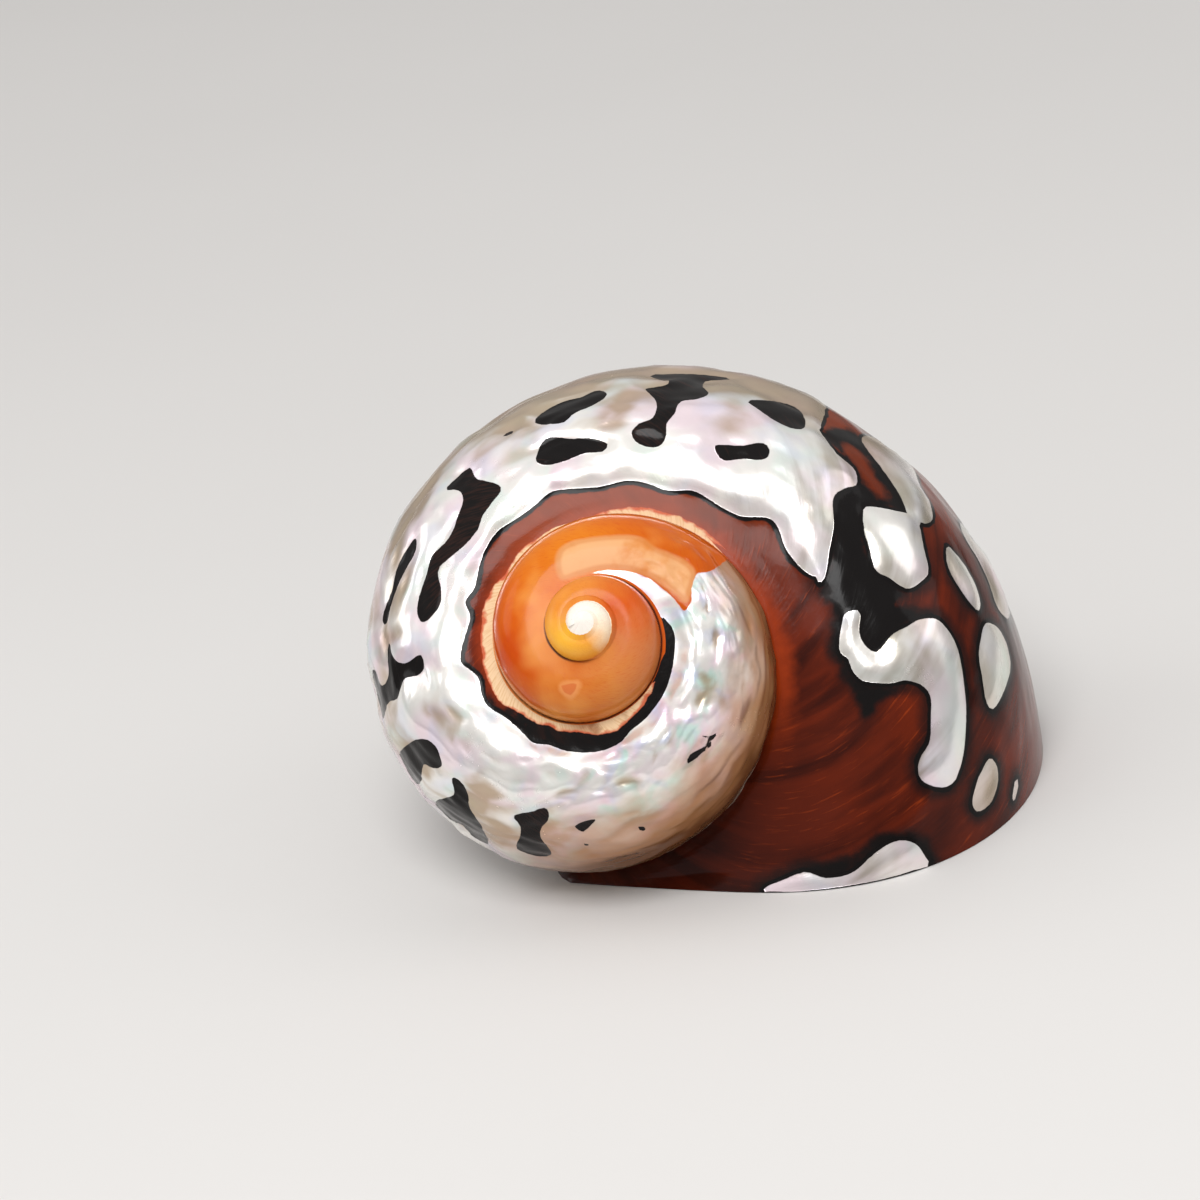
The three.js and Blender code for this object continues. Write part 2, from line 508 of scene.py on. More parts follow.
def seen_at(pixel):
    """Place, turn and angle of the point that the camera sees at a pixel.

    A pixel beside the shell is drawn in towards the tip until it meets it.
    """
    pull, pull_step = 0.0, 0.005
    while True:
        x, y = (p + pull * (t - p) for p, t in zip(pixel, tip_px))
        to_pixel = Vector((x - middle_px, middle_px - y, -lens_mm * picture_px / sensor_mm))
        hit, _, face, _ = surface.ray_cast(camera_place, (camera_turn @ to_pixel).normalized())
        if hit is not None:
            break
        pull += pull_step
    corners = list(shell_mesh.polygons[face].vertices)
    shares = np.array(poly_3d_calc([Vector(places[c]) for c in corners], hit))
    return np.array(hit), float(shares @ turns[corners]), float(shares @ acrosses[corners])


def rounded(points, closed, steps=4):
    """A smooth line through the points."""
    points = np.array(points, float)
    if closed:
        padded = np.concatenate([points[-1:], points, points[:2]])
    else:
        padded = np.concatenate([points[:1], points, points[-1:]])
    smooth = []
    for before, start, end, after in zip(padded, padded[1:], padded[2:], padded[3:]):
        for way in np.arange(steps) / steps:
            squared = (2 * before - 5 * start + 4 * end - after) * way**2
            cubed = (3 * start - before - 3 * end + after) * way**3
            smooth.append(0.5 * (2 * start + (end - before) * way + squared + cubed))
    if not closed:
        smooth.append(points[-1])
    return np.array(smooth)


def laid_on(pixels, closed=True):
    """An outline drawn on the picture, as places on the shell and as turns and angles."""
    seen = [seen_at(pixel) for pixel in rounded(pixels, closed)]
    usual = np.median([turn for _, turn, _ in seen])
    furthest_off = 120
    seen = [point for point in seen if not closed or abs(point[1] - usual) < furthest_off]
    return np.array([point[0] for point in seen]), np.array([point[1:] for point in seen])


def laid_round(points, closed=True):
    """An outline given in turns and angles, as places on the shell."""
    chart = rounded(points, closed)
    return np.array([place_at(*point) for point in chart]), chart


mm_per_metre = 1000
marking_reach = 6.0


def distance_from(line, closed, vertices):
    """Millimetres from each of these vertices to a line on the shell."""
    nearest = np.full(len(vertices), marking_reach)
    ends = np.roll(line, -1, axis=0) if closed else line[1:]
    for start, end in zip(line, ends):
        offset = places[vertices] - start
        along = end - start
        way = np.clip(offset @ along / max(along @ along, 1e-12), 0, 1)
        gap = np.linalg.norm(offset - way[:, None] * along, axis=1)
        nearest = np.minimum(nearest, mm_per_metre * gap)
    return nearest


def vertices_near(line):
    middle = line.mean(axis=0)
    radius = np.linalg.norm(line - middle, axis=1).max() + marking_reach / mm_per_metre
    return outside[np.linalg.norm(places[outside] - middle, axis=1) < radius]


def within(chart, vertices):
    """Which of these vertices lie inside a closed outline."""
    odd = np.zeros(len(vertices), bool)
    turn, across = turns[vertices], acrosses[vertices]
    for (turn_a, across_a), (turn_b, across_b) in zip(chart, np.roll(chart, -1, axis=0)):
        if across_a != across_b:
            crosses = (across_a > across) != (across_b > across)
            reach = (across - across_a) * (turn_b - turn_a) / (across_b - across_a)
            odd ^= crosses & (turn < turn_a + reach)
    return odd


def no_marking():
    return np.full(len(places), -marking_reach)


def add_patch(marking, line, chart):
    """Widens a marking, which is a distance in millimetres from its edge, by a closed outline."""
    near = vertices_near(line)
    distance = distance_from(line, True, near)
    marking[near] = np.maximum(marking[near], np.where(within(chart, near), distance, -distance))


def patches(outlines_px):
    """A marking made of closed outlines drawn on the picture."""
    marking = no_marking()
    for pixels in outlines_px:
        add_patch(marking, *laid_on(pixels))
    return marking


# The seam, where each whorl lies against the one before it
seam_across = -105.9
seam_turns = np.arange(shell_sizes["First turn"], shell_sizes["Last turn"], 1.5)
seam_line = [place_at(seam_turn, seam_across) for seam_turn in seam_turns]
seam_tree = KDTree(len(seam_line))
for number, place in enumerate(seam_line):
    seam_tree.insert(place, number)
seam_tree.balance()
seam = np.full(len(places), marking_reach)
to_seam = [mm_per_metre * seam_tree.find(place)[2] for place in places[outside]]
seam[outside] = np.minimum(to_seam, marking_reach)
write_on_shell("seam", seam)

# The broad pearl band: its edge along the seam, the pointed lobe at its end, where it starts on the
# spire, and how its edge runs on out of the picture
band_edge_px = [
    (663, 617), (672, 628), (675, 642), (672, 668), (663, 694), (646, 717), (630, 730), (618, 743),
    (602, 750), (585, 752), (565, 750), (548, 744), (533, 742), (520, 730), (505, 717), (488, 706),
    (481, 693), (478, 677), (468, 668), (460, 661), (461, 648), (466, 631), (470, 615), (465, 601),
    (474, 587), (478, 570), (484, 551), (497, 531), (516, 518), (535, 504), (551, 491), (573, 488),
    (600, 486), (625, 480), (645, 482), (668, 490), (692, 490), (708, 498), (722, 507), (742, 516),
    (766, 517), (777, 525), (785, 547), (800, 567), (813, 576),
]
lobe_edge_px = [
    (819, 584), (825, 576), (829, 553), (834, 525), (834, 497), (846, 487), (858, 483), (855, 467),
    (838, 452), (829, 440), (820, 428),
]
lobe_edge_behind = [(-43, -2), (-47, 10), (-44, 22), (-52, 34), (-66, 40)]
base_edge_behind = [
    (edge_turn, 44 + 5 * math.sin(edge_turn / 7) + 4 * math.sin(edge_turn / 17))
    for edge_turn in range(-82, -240, -9)
]
spire_edge_px = [
    (578, 580), (600, 571), (626, 571), (642, 575), (656, 583), (668, 593), (678, 603), (685, 611),
    (691, 601), (692, 588), (697, 575), (709, 572), (720, 566), (729, 558),
]
band_line, band_chart = laid_on(band_edge_px, closed=False)
lobe_line, lobe_chart = laid_on(lobe_edge_px, closed=False)
back_line, back_chart = laid_round([lobe_chart[-1], *lobe_edge_behind, *base_edge_behind], closed=False)
spire_line, spire_chart = laid_on(spire_edge_px, closed=False)
spire_whorl_start = -560
on_whorl = spire_chart[:, 0] > spire_whorl_start
spire_line, spire_chart = spire_line[on_whorl], spire_chart[on_whorl]
before_all, above_all = -1500, -180
band_end = [(before_all, back_chart[-1, 1]), (before_all, above_all), (band_chart[0, 0], above_all)]
band_outline = np.concatenate([band_chart, lobe_chart, back_chart, band_end])


def level(chart, key, values):
    """Reads one measure of a line at the other, for a line that doesn't fold back on itself."""
    order = np.argsort(chart[:, key])
    return np.interp(values, chart[order, key], chart[order, 1 - key])


turn_out, across_out = turns[outside], acrosses[outside]
in_band = within(band_outline, outside)
band_edges = (band_line, lobe_line, back_line)
to_edge = np.minimum.reduce([distance_from(edge, False, outside) for edge in band_edges])
pearl = no_marking()
pearl[outside] = np.where(in_band, to_edge, -to_edge)
spire = no_marking()
to_spire_edge = distance_from(spire_line, False, outside)
spire[outside] = np.where(turn_out < level(spire_chart, 1, across_out), to_spire_edge, -to_spire_edge)
spire[is_extra] = marking_reach
covered_turn, covered_across = -226, 20
covered = outside[(turn_out < covered_turn) & (across_out > covered_across)]
pearl[covered] = marking_reach
spire[covered] = -marking_reach
write_on_shell("spire", spire)

# Windows of pearl in the brown of the last whorl
pearl_windows_px = {
    "shield": [
        (868, 505), (895, 509), (912, 513), (920, 521), (925, 545), (930, 570), (922, 581),
        (908, 588), (890, 577), (876, 569), (870, 548), (865, 531), (864, 514),
    ],
    "upper strip": [
        (863, 436), (874, 434), (890, 443), (906, 457), (917, 470), (922, 484), (932, 501),
        (934, 518), (926, 522), (915, 517), (908, 509), (902, 495), (892, 479), (879, 461),
        (868, 447),
    ],
    "leaf": [
        (949, 545), (960, 555), (973, 574), (982, 597), (981, 610), (972, 602), (957, 580),
        (949, 562),
    ],
    "edge leaf": [
        (962, 520), (973, 531), (988, 554), (1002, 581), (1012, 606), (1010, 618), (999, 605),
        (991, 581), (979, 556), (967, 536),
    ],
    "side leaf": [
        (989, 622), (1000, 627), (1009, 643), (1013, 664), (1009, 684), (997, 708), (989, 703),
        (984, 675), (981, 655), (984, 633),
    ],
    "hook": [
        (845, 613), (860, 611), (859, 632), (866, 646), (876, 652), (883, 646), (893, 634),
        (908, 626), (920, 619), (937, 618), (950, 630), (960, 650), (966, 685), (968, 715),
        (965, 755), (957, 780), (944, 788), (926, 783), (919, 773), (921, 758), (931, 741),
        (932, 715), (932, 697), (923, 685), (906, 680), (890, 683), (869, 682), (860, 679),
        (852, 670), (848, 659), (839, 650), (841, 628),
    ],
    "low leaf": [
        (992, 758), (999, 766), (1000, 782), (993, 802), (980, 812), (974, 804), (979, 782),
        (986, 767),
    ],
    "sliver": [(1017, 780), (1020, 782), (1016, 799), (1013, 799)],
    "lip": [
        (929, 868), (925, 856), (917, 845), (903, 841), (888, 845), (870, 858), (857, 870),
        (844, 876), (824, 878), (805, 872), (785, 879), (762, 890), (790, 896), (850, 890),
        (900, 880),
    ],
}
windows = patches(pearl_windows_px.values())

# Rests of the dark skin that stand like islands on the pearl
dark_islands_px = {
    "high left": [
        (533, 419), (545, 408), (566, 398), (580, 395), (596, 388), (607, 392), (597, 401),
        (575, 411), (563, 421), (540, 423),
    ],
    "second left": [
        (546, 437), (570, 437), (590, 437), (607, 442), (602, 450), (582, 453), (562, 461),
        (542, 464), (535, 456),
    ],
    "speck": [(501, 434), (507, 430), (513, 428), (509, 433)],
    "cross": [
        (645, 387), (655, 385), (668, 382), (672, 375), (705, 375), (703, 384), (709, 391),
        (698, 397), (680, 400), (675, 412), (667, 422), (666, 436), (658, 446), (641, 444),
        (631, 433), (638, 422), (652, 416), (656, 400),
    ],
    "top edge": [(650, 372), (664, 378), (690, 379), (715, 378), (732, 376), (700, 372)],
    "bar": [
        (714, 445), (725, 443), (742, 444), (762, 441), (770, 448), (765, 458), (742, 458),
        (722, 459),
    ],
    "right": [
        (748, 399), (766, 398), (790, 402), (803, 411), (806, 425), (794, 427), (778, 420),
        (760, 408),
    ],
    "hammer": [
        (444, 488), (456, 475), (469, 466), (475, 477), (492, 481), (501, 487), (493, 500),
        (481, 516), (477, 529), (463, 545), (445, 560), (437, 570), (440, 590), (437, 607),
        (422, 622), (415, 609), (420, 588), (427, 566), (432, 553), (447, 537), (458, 512),
        (462, 498), (457, 489),
    ],
    "left": [
        (413, 537), (414, 550), (402, 572), (391, 598), (384, 624), (380, 616), (389, 592),
        (396, 564),
    ],
    "claw": [
        (387, 641), (391, 657), (403, 663), (419, 654), (423, 666), (417, 675), (402, 679),
        (395, 699), (386, 703), (379, 724), (371, 700), (367, 678), (372, 670), (379, 686),
        (386, 676), (385, 656),
    ],
    "low left": [
        (411, 742), (425, 740), (436, 750), (440, 767), (430, 769), (421, 766), (418, 785),
        (405, 781), (396, 757),
    ],
    "step": [
        (450, 779), (460, 783), (467, 797), (468, 809), (480, 828), (487, 846), (476, 846),
        (462, 828), (442, 819), (434, 803), (452, 796),
    ],
    "bow": [
        (512, 817), (530, 813), (545, 809), (548, 821), (540, 831), (541, 841), (551, 856),
        (538, 859), (516, 851), (519, 838), (519, 827),
    ],
    "chip": [(574, 829), (582, 824), (596, 821), (589, 829), (584, 834)],
    "low chip": [(583, 843), (589, 846), (586, 850)],
    "dot": [(639, 829), (645, 828), (648, 831), (642, 833)],
    "crack": [(687, 765), (693, 753), (713, 746), (699, 758)],
    "upper crack": [(702, 736), (711, 737), (720, 733), (711, 743)],
}
islands = patches(dark_islands_px.values())

# On the far side, out of the picture, windows and islands follow the same rows.
# Each is a few lumps that run into each other, as the ones in the picture are.
normals = np.empty(3 * len(places), np.float32)
shell_mesh.vertex_normals.foreach_get("vector", normals)
facing = normals.reshape(-1, 3) @ np.array(towards_camera)
chance = np.random.default_rng(31)
far_rows = (-32, -8, 16, 44, 76, 108)
first_far_turn, last_far_turn = -224.0, 24
slants = [-62, -40, 8, 30, 75]
edge_room, turned_away = 2.6, -0.12
lump_overlap = 1.05
for row_across in far_rows:
    row_turn = first_far_turn + chance.uniform(0, 20)
    while row_turn < last_far_turn:
        middle = [row_turn, row_across + chance.uniform(-7, 7)]
        nearest = outside[np.linalg.norm(places[outside] - place_at(*middle), axis=1).argmin()]
        on_pearl = pearl[nearest] > 0
        clear = abs(pearl[nearest]) > edge_room
        shown = facing[nearest] < turned_away and clear and (not on_pearl or chance.uniform() < 0.9)
        lump_size = chance.uniform(0.8, 1.45) * (0.7 if on_pearl else 1.0)
        slant = math.radians(chance.choice(slants) + chance.uniform(-15, 15))
        for _ in range(chance.integers(2, 5)):
            lump_long = lump_size * chance.uniform(3.6, 6.2)
            lump_wide = lump_size * chance.uniform(4.2, 7.5)
            outline = []
            for corner in np.radians(np.arange(0, 360, 45)):
                bulging = chance.uniform(0.78, 1.22)
                corner_turn = middle[0] + lump_long * bulging * math.cos(corner)
                corner_across = middle[1] + lump_wide * bulging * math.sin(corner)
                outline.append((corner_turn, corner_across))
            if shown:
                add_patch(islands if on_pearl else windows, *laid_round(outline))
            slant += chance.uniform(-0.7, 0.7)
            middle[0] += lump_overlap * lump_long * math.cos(slant)
            middle[1] += lump_overlap * lump_wide * math.sin(slant)
        row_turn += chance.uniform(24, 38)
write_on_shell("pearl", np.maximum(pearl, windows))
write_on_shell("islands", islands)

# Cream underlayer along the seam, a bare peach patch and a chip on the spire, smoky places in the brown
cream_edge_px = [
    (655, 682), (645, 705), (630, 719), (615, 731), (598, 734), (578, 733), (558, 730), (538, 723),
    (518, 712), (500, 701), (489, 684), (482, 664), (479, 642), (480, 624), (484, 604), (492, 589),
    (501, 576), (512, 564), (522, 548), (536, 539), (556, 529), (578, 519), (600, 512), (620, 508),
    (643, 506), (664, 511), (690, 521), (710, 533), (724, 546), (731, 555),
]
cream_line, cream_chart = laid_on(cream_edge_px, closed=False)
cream_start = -345
cream_chart = cream_chart[cream_chart[:, 0] > cream_start]
to_cream_edge = distance_from(cream_line, False, outside)
in_cream = (across_out < level(cream_chart, 0, turn_out)) & (across_out > seam_across - 4)
in_cream &= (turn_out > cream_chart[:, 0].min()) & (turn_out < cream_chart[:, 0].max())
cream = no_marking()
cream[outside] = np.where(in_cream, to_cream_edge, -to_cream_edge)
write_on_shell("cream", cream)
peach_px = [
    (556, 566), (560, 549), (582, 539), (620, 535), (642, 538), (656, 548), (682, 559), (695, 572),
    (693, 586), (686, 602), (672, 592), (650, 577), (626, 570), (600, 570), (578, 576), (562, 580),
]
chip_px = [(559, 683), (578, 681), (578, 690), (572, 698), (562, 694)]
write_on_shell("peach", patches([peach_px]))
write_on_shell("chip", patches([chip_px]))
smoke_px = {
    "between": [
        (834, 498), (858, 485), (888, 500), (906, 511), (868, 505), (864, 530), (874, 565),
        (905, 592), (900, 604), (930, 614), (895, 631), (876, 652), (860, 636), (845, 612),
        (838, 640), (832, 650), (834, 615), (824, 598), (822, 586), (830, 556),
    ],
    "under hook": [
        (834, 650), (848, 662), (858, 680), (882, 686), (906, 684), (882, 700), (866, 716),
        (854, 694),
    ],
    "over strip": [
        (822, 430), (840, 427), (860, 433), (880, 462), (900, 487), (911, 513), (896, 507),
        (884, 500), (892, 492), (880, 474), (862, 450), (848, 441), (842, 446), (858, 468),
        (868, 486), (857, 484), (846, 455),
    ],
    "lip": [
        (800, 872), (840, 862), (868, 846), (890, 836), (915, 838), (930, 864), (880, 848),
        (840, 874),
    ],
}
write_on_shell("smoke", patches(smoke_px.values()))

# Callus round the end of the pillar: how far each vertex lies inside a line round the axis
callus_radius = 9.5
lean, heading = (math.radians(shell_sizes[name]) for name in ("Lean", "Heading"))
level_reach = math.sin(lean)
axis_up = [level_reach * math.cos(heading), level_reach * math.sin(heading), math.cos(lean)]
axis_way = -np.array(axis_up)
from_tip = places - np.array(tip_place)
down_axis = from_tip @ axis_way
axis_distance = mm_per_metre * np.linalg.norm(from_tip - down_axis[:, None] * axis_way, axis=1)
callus = no_marking()
on_base = (acrosses > 60) | (is_extra & (down_axis > 0.01))
callus[on_base] = np.clip(callus_radius - axis_distance[on_base], -marking_reach, marking_reach)
write_on_shell("callus", callus)

# Grinding bares the high places, so the pearl swells out between the dark rests and the brown
pearl_swell, swell_reach, swell_level = 0.0005, 3.2, 0.75
bare = np.minimum(np.maximum(pearl, windows), -islands)
swell = np.clip(bare / swell_reach, 0, 1)
swell = swell * (2 - swell) - swell_level
seam_fade = np.clip(seam / 3, 0, 1)
spire_fade = np.clip((turns + 420) / 40, 0, 1)
lip_fade = np.clip(read_from_shell("behind_lip") / 8, 0, 1)
swell *= seam_fade * spire_fade * lip_fade
swell[np.setdiff1d(np.arange(len(places)), outside)] = 0
places += (pearl_swell * swell)[:, None].astype(np.float32) * normals.reshape(-1, 3)
places[:, 2] = np.maximum(places[:, 2], 0)
shell_mesh.vertices.foreach_set("co", places.ravel())
shell_mesh.update()

# Finish of the shell: brown skin with growth streaks and black rests of it, pearl beneath,
# orange and cream at the spire
shell_finish.use_nodes = True
paint = shell_finish.node_tree
paint.nodes.clear()
polish = node_of(paint, "ShaderNodeBsdfPrincipled")
node_of(paint, "ShaderNodeOutputMaterial", {"Surface": polish.outputs["BSDF"]})
object_place = node_of(paint, "ShaderNodeTexCoord").outputs["Object"]


def tone(red, green, blue):
    """A colour as it looks on a screen, turned into the light it stands for."""
    levels = [level / 255 for level in (red, green, blue)]
    return (*[v / 12.92 if v <= 0.04045 else ((v + 0.055) / 1.055) ** 2.4 for v in levels], 1.0)


def measure(name):
    node = node_of(paint, "ShaderNodeAttribute", attribute_name=name, attribute_type="GEOMETRY")
    return Amount(paint, node.outputs["Fac"])


def laid_over(under, *layers):
    """A colour with others laid over it, each as far as its amount goes."""
    for over, amount in layers:
        slots = {0: amount, 6: under, 7: over}
        under = node_of(paint, "ShaderNodeMix", slots, data_type="RGBA").outputs[2]
    return under


turn_mark, across_mark, relief_mark = measure("turn"), measure("across"), measure("relief")
inside_mark, seam_mark, callus_mark = measure("inside"), measure("seam"), measure("callus")
cream_mark, peach_mark = measure("cream"), measure("peach")
grit = mottle(paint, object_place, 1400, detail=3.0) - 0.5
ragged = mottle(paint, object_place, 420, detail=4.0) - 0.5
cloud = mottle(paint, object_place, 70, detail=3.0)
growth_mark = turn_mark + across_mark * 0.9
line_place = vector_of(paint, growth_mark / 8, across_mark / 40, 0)
growth_streak = mottle(paint, line_place, 1, detail=4.0, distortion=0.8)
fine_place = vector_of(paint, growth_mark, across_mark / 7, 7)
fine_streak = mottle(paint, fine_place, 1, detail=4.0, distortion=0.3)

# Brown skin, redder by the seam, and darker towards the lip at the bottom with painted shade
deep_brown, warm_brown, lip_painted_shade = tone(54, 15, 6), tone(106, 34, 11), tone(34, 11, 8)
rust, seam_rust, chestnut = tone(172, 66, 20), tone(176, 62, 18), tone(156, 66, 24)
by_seam = unless((seam_mark + ragged * 3).eased(0.2, 3.4)) * unless(turn_mark.eased(20, 60))
on_top = turn_mark.eased(-150, -100) * unless(turn_mark.eased(-60, 6))
brown = laid_over(
    deep_brown,
    (warm_brown, (growth_streak + cloud * 0.7).eased(0.62, 1.08)),
    (rust, fine_streak.eased(0.56, 0.74) * cloud.eased(0.4, 0.62) * 0.55),
    (seam_rust, by_seam * 0.75),
    (chestnut, on_top * 0.6),
    # Painted shade, darker towards the lip at the bottom
    (lip_painted_shade, turn_mark.eased(24, 80) * 0.65),
)

# Black rests of the skin, in smoky places, along the seam and as islands on the pearl
soot, brown_soot = tone(17, 14, 14), tone(46, 22, 17)
black = laid_over(soot, (brown_soot, (growth_streak * cloud).eased(0.26, 0.5) * 0.6))
smoke_amount = (measure("smoke") + ragged * 2.4).eased(-1, 0.5)
black_turn = turn_mark + ragged * 60
band_black = unless(black_turn.eased(-206, -186)) * unless(across_mark.eased(-75, -55))
island_black, island_brown = tone(18, 15, 15), tone(58, 34, 28)
island_amount = (measure("islands") + grit * 0.16).eased(-0.03, 0.05)
island_colour = laid_over(island_black, (island_brown, (cloud * fine_streak).eased(0.25, 0.42) * 0.5))

# Pearl: near white, with pink, green and blue painted iridescent sheen in it
pearl_mark = measure("pearl") + grit * 0.14
pearl_amount = pearl_mark.eased(-0.03, 0.05)
earlier = unless(turn_mark.eased(-262, -212))
layer = relief_mark * 0.2


def sheen(turn_size, across_size, depth):
    """Cloudy noise for the painted sheen, which follows the coil and the relief of the pearl."""
    sheen_place = vector_of(paint, turn_mark / turn_size, across_mark / across_size, depth)
    return mottle(paint, sheen_place, 1, distortion=0.5)


white, pink = tone(247, 244, 239), tone(240, 212, 226)
green, blue = tone(200, 238, 226), tone(208, 216, 244)
# Painted iridescent sheen: where the pink, green and blue lie on the pearl
pink_painted_sheen = sheen(17, 24, layer).eased(0.4, 0.68) * (earlier * 0.3 + 0.6)
green_painted_sheen = sheen(13, 20, layer + 5).eased(0.48, 0.7) * (earlier * 0.5 + 0.4)
blue_painted_sheen = sheen(12, 18, layer + 11).eased(0.5, 0.72) * (earlier * 0.4 + 0.4)

# Painted shade and reflection on the pearl: tan painted shade in its hollows, over random cloudy tone,
# and a painted tan reflection towards its outline; on the earlier whorl a painted rosy and brown
# reflection that darkens to painted shade by the seam; grey painted shade and reflection in its windows
painted_shade_tan, painted_rosy_reflection = tone(174, 146, 108), tone(198, 152, 120)
painted_brown_reflection, painted_seam_shade = tone(158, 104, 54), tone(88, 48, 22)
painted_window_grey = tone(150, 138, 114)
shade_place = vector_of(paint, turn_mark / 20, across_mark / 20, 17)
shade = mottle(paint, shade_place, 1, detail=3.0)
rim_mark = across_mark + (shade - 0.5) * 46
# Painted tan reflection towards the outline of the last whorl, stronger on top and at the lower left
rim_top = turn_mark.eased(-150, -112) * unless(turn_mark.eased(-40, -18))
rim_reach = rim_top * 0.42 + unless(turn_mark.eased(-225, -195)) * 0.4 + 0.36
painted_rim_reflection = rim_mark.eased(-74, -24) * unless(across_mark.eased(-34, -2))
painted_rim_reflection = painted_rim_reflection * unless(earlier) * rim_reach
# Tan painted shade in the hollows of the relief, over random cloudy tone, with the painted reflection at
# the outline
painted_warm_shade = (shade * 0.5 - relief_mark * 0.9 + painted_rim_reflection).eased(0.3, 0.86)
# Painted rosy and brown reflection on the earlier whorl, darkening to painted shade by the seam
painted_reflection_band = rim_mark.eased(-46, -20) * earlier
# Grey painted shade and reflection in the windows
painted_window_shade = (shade * 0.6 + growth_streak * 0.5).eased(0.5, 0.7) * turn_mark.eased(-44, -16)
pearl_colour = laid_over(
    white,
    (pink, pink_painted_sheen),
    (green, green_painted_sheen * 0.9),
    (blue, blue_painted_sheen * 0.8),
    (painted_shade_tan, painted_warm_shade * 0.76),
    (painted_rosy_reflection, rim_mark.eased(-68, -38) * earlier * 0.8),
    (painted_brown_reflection, painted_reflection_band * 0.85),
    (painted_seam_shade, rim_mark.eased(-22, -2) * earlier * 0.8),
    (painted_window_grey, painted_window_shade * 0.66),
)

# A black edge and a smoky halo part the pearl from the brown
edge_black = tone(15, 12, 12)
edge_amount = (pearl_mark + ragged * 0.9).eased(-0.7, -0.45)
halo_mark = pearl_mark + ragged * 1.6 + (growth_streak - 0.5) * 1.6
halo = halo_mark.eased(-2.4, -0.6) * turn_mark.eased(-14, 8) * unless(across_mark.eased(0, 20))

# Cream underlayer along the seam
pale_cream, dark_cream = tone(238, 208, 168), tone(214, 170, 116)
stain_brown, edge_red = tone(150, 84, 38), tone(200, 66, 16)
cream_amount = (cream_mark + ragged * 1.1).eased(-0.02, 0.12)
from_stain = (turn_mark + 268).reckon("ABSOLUTE")
stain = (cloud + ragged * 0.4).eased(0.44, 0.56) * unless(from_stain.eased(14, 40))
cream_edge = unless((cream_mark + ragged * 2.4).eased(0.05, 0.5))
cream_colour = laid_over(
    pale_cream,
    (dark_cream, fine_streak.eased(0.42, 0.7) * 0.6),
    (stain_brown, stain * 0.85),
    (edge_red, cream_edge * 0.85),
)

# Orange spire, white at the tip, with a bare peach patch and a chip
spire_from, spire_to = -1269, -365
spire_turn = turn_mark + (cloud - 0.5) * 60 + ragged * 40
spire_ramp = node_of(paint, "ShaderNodeValToRGB", {"Fac": spire_turn.share(spire_from, spire_to)})
spire_tones = {
    -1269: (252, 246, 236), -1110: (252, 242, 226), -1040: (246, 222, 190), -985: (236, 160, 60),
    -910: (246, 184, 36), -850: (224, 128, 24), -800: (226, 138, 56), -740: (212, 90, 26),
    -690: (208, 122, 70), -640: (212, 130, 62), -590: (204, 104, 30), -540: (198, 72, 8),
    -500: (214, 100, 10), -455: (222, 124, 26), -420: (212, 102, 14), -370: (198, 86, 12),
}
stops = spire_ramp.color_ramp.elements
while len(stops) < len(spire_tones):
    stops.new(0.5)
for stop, (stop_turn, levels) in zip(stops, spire_tones.items()):
    stop.position = (stop_turn - spire_from) / (spire_to - spire_from)
    stop.color = tone(*levels)
pale_peach, deep_peach, peach_rim = tone(236, 182, 128), tone(222, 142, 70), tone(206, 124, 60)
peach_amount = (peach_mark + ragged * 0.5).eased(-0.35, 0.3)
peach_edge = unless((peach_mark - 0.3).reckon("ABSOLUTE").eased(0.1, 0.6))
peach_colour = laid_over(
    pale_peach,
    (deep_peach, (cloud + ragged * 0.5).eased(0.38, 0.6)),
    (peach_rim, peach_edge * 0.5),
)
red_orange, pale_orange, pit_grey = tone(196, 58, 8), tone(244, 176, 92), tone(120, 96, 78)
chip_pale, chip_red = tone(232, 160, 98), tone(206, 92, 44)
tip_pits = (ragged.eased(0.2, 0.25) + grit.eased(0.26, 0.3)) * unless(turn_mark.eased(-1130, -1060))
chip_mark = measure("chip") + grit * 0.2
spire_colour = laid_over(
    spire_ramp.outputs["Color"],
    (red_orange, fine_streak.eased(0.5, 0.74) * 0.4),
    (pale_orange, cloud.eased(0.5, 0.68) * 0.55),
    (pit_grey, tip_pits * 0.6),
    (peach_colour, peach_amount * 0.85),
    (chip_pale, (chip_mark + ragged * 1.6).eased(-0.5, 0.3) * 0.6),
    (chip_red, (chip_mark + ragged * 0.6).eased(0.25, 0.5) * 0.6),
)
spire_amount = (measure("spire") + ragged * 0.7).eased(-0.08, 0.1)
# Dark line along the seam of the spire: partly the shell's own seam line, partly painted shade in the
# crease
seam_line_and_shade = tone(36, 18, 16)
seam_line_and_shade_amount = unless((seam_mark + ragged * 0.2).eased(0.16, 0.36)) * turn_mark.eased(-660, -560)

# White glaze over the inside and round the pillar
under_lip = unless((turn_mark + ragged * 8).eased(-238, -226)) * across_mark.eased(10, 20)
on_callus = (callus_mark + ragged * 2).eased(-0.6, 0.6)
glaze_amount = on_callus.reckon("MAXIMUM", inside_mark).reckon("MAXIMUM", under_lip)
glaze_white = tone(238, 228, 212)
whitened = callus_mark.eased(-0.5, 2).reckon("MAXIMUM", under_lip)
glaze_colour = laid_over(pearl_colour, (glaze_white, whitened * 0.7))

# All of these together, from the brown skin up
colour = laid_over(
    brown,
    (black, smoke_amount),
    (black, band_black),
    (black, halo * 0.8),
    (edge_black, edge_amount),
    (pearl_colour, pearl_amount),
    (island_colour, island_amount),
    (cream_colour, cream_amount),
    (spire_colour, spire_amount),
    (seam_line_and_shade, seam_line_and_shade_amount * 0.9),
    (glaze_colour, glaze_amount),
)
feed(paint, polish.inputs["Base Color"], colour)

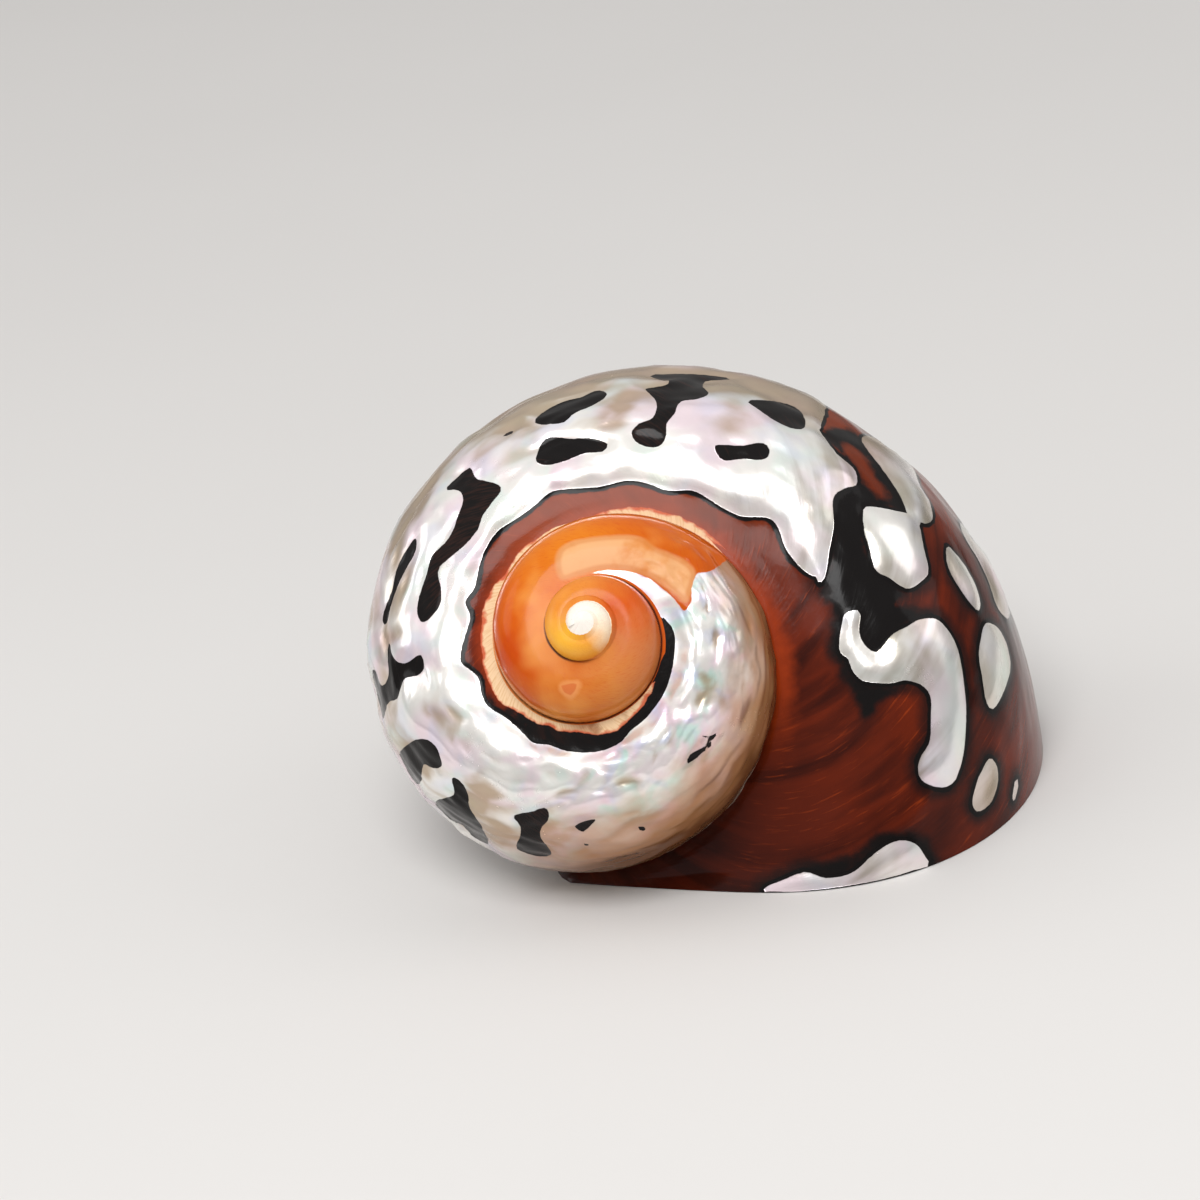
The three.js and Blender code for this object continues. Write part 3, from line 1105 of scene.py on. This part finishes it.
# Pearl reflects like metal, and the cream and peach are duller than the polish
bare_pearl = pearl_amount * unless(island_amount) * unless(cream_amount) * unless(spire_amount)
metal_share = turn_mark.eased(-60, -20) * 0.15 + 0.58
metal = (bare_pearl * unless(painted_reflection_band * 0.8)).reckon("MAXIMUM", glaze_amount * 0.5) * metal_share
feed(paint, polish.inputs["Metallic"], metal)
matt_cream = cream_amount * unless(spire_amount) * 0.35
matt_peach = peach_amount * spire_amount * 0.2
matt_amount = matt_cream + matt_peach + bare_pearl * 0.1
roughness = (matt_amount + cloud * 0.1 + grit * 0.06).reckon("ADD", 0.1, clamp=True)
feed(paint, polish.inputs["Roughness"], roughness)
polish.inputs["IOR"].default_value = 1.22
polish.inputs["Coat Weight"].default_value = 0.06
polish.inputs["Coat Roughness"].default_value = 0.03
ripple = fine_streak * 0.4 + grit * 0.25 - pearl_amount * 0.8 + island_amount * 0.5
bump_slots = {"Strength": 0.35, "Distance": 0.00009, "Height": ripple}
bump = node_of(paint, "ShaderNodeBump", bump_slots)
feed(paint, polish.inputs["Normal"], bump.outputs["Normal"])

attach(shell, "root")
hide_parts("shell")

# Floor and light
# A plain pale sheet that the shell rests on, under a wide soft lamp, with weaker ones at both sides.
floor_mesh = bpy.data.meshes.new("floor")
floor_half, floor_level = 3.0, -0.0001
corner_ways = ((-1, -1), (1, -1), (1, 1), (-1, 1))
floor_corners = [(x * floor_half, y * floor_half, floor_level) for x, y in corner_ways]
floor_mesh.from_pydata(floor_corners, [], [(0, 1, 2, 3)])
floor = bpy.data.objects.new("floor", floor_mesh)
bpy.context.collection.objects.link(floor)
floor_finish = bpy.data.materials.new("pale_sheet")
floor_finish.use_nodes = True
sheet = floor_finish.node_tree
sheet_matt = sheet.nodes["Principled BSDF"]
sheet_place = node_of(sheet, "ShaderNodeTexCoord").outputs["Object"]
sheet_cloud = mottle(sheet, sheet_place, 6.0, detail=4.0)
sheet_ramp = node_of(sheet, "ShaderNodeValToRGB", {"Fac": sheet_cloud})
sheet_ramp.color_ramp.elements[0].color = (0.70, 0.685, 0.67, 1)
sheet_ramp.color_ramp.elements[1].color = (0.74, 0.725, 0.71, 1)
feed(sheet, sheet_matt.inputs["Base Color"], sheet_ramp.outputs["Color"])
sheet_matt.inputs["Roughness"].default_value = 0.8
floor.data.materials.append(floor_finish)

lamp_target = Vector((0, 0, 0.03))
lamps = {
    "overhead": ((-0.1, -0.51, 0.7), 0.44, 3.9),
    "left": ((-0.75, 0.2, 0.5), 0.5, 0.9),
    "right": ((0.75, -0.19, 0.55), 0.6, 0.8),
}
for lamp_name, (lamp_place, lamp_width, lamp_power) in lamps.items():
    lamp_data = bpy.data.lights.new(lamp_name, "AREA")
    lamp_data.shape = "DISK"
    lamp_data.size = lamp_width
    lamp_data.energy = lamp_power
    lamp = bpy.data.objects.new(lamp_name, lamp_data)
    lamp.location = lamp_place
    lamp.rotation_euler = (lamp_target - Vector(lamp_place)).to_track_quat("-Z", "Y").to_euler()
    bpy.context.collection.objects.link(lamp)
world = bpy.data.worlds.new("studio")
world.use_nodes = True
sky = world.node_tree
sky_place = node_of(sky, "ShaderNodeTexCoord").outputs["Generated"]
sky_way = node_of(sky, "ShaderNodeSeparateXYZ", {0: sky_place})
sky_ramp = node_of(sky, "ShaderNodeValToRGB", {"Fac": sky_way.outputs["Z"]})
sky_ramp.color_ramp.elements[0].color = (0.30, 0.295, 0.29, 1)
sky_ramp.color_ramp.elements[1].color = (0.95, 0.94, 0.93, 1)
sky_light = sky.nodes["Background"]
feed(sky, sky_light.inputs["Color"], sky_ramp.outputs["Color"])
feed(sky, sky_light.inputs["Strength"], 0.86)
bpy.context.scene.world = world
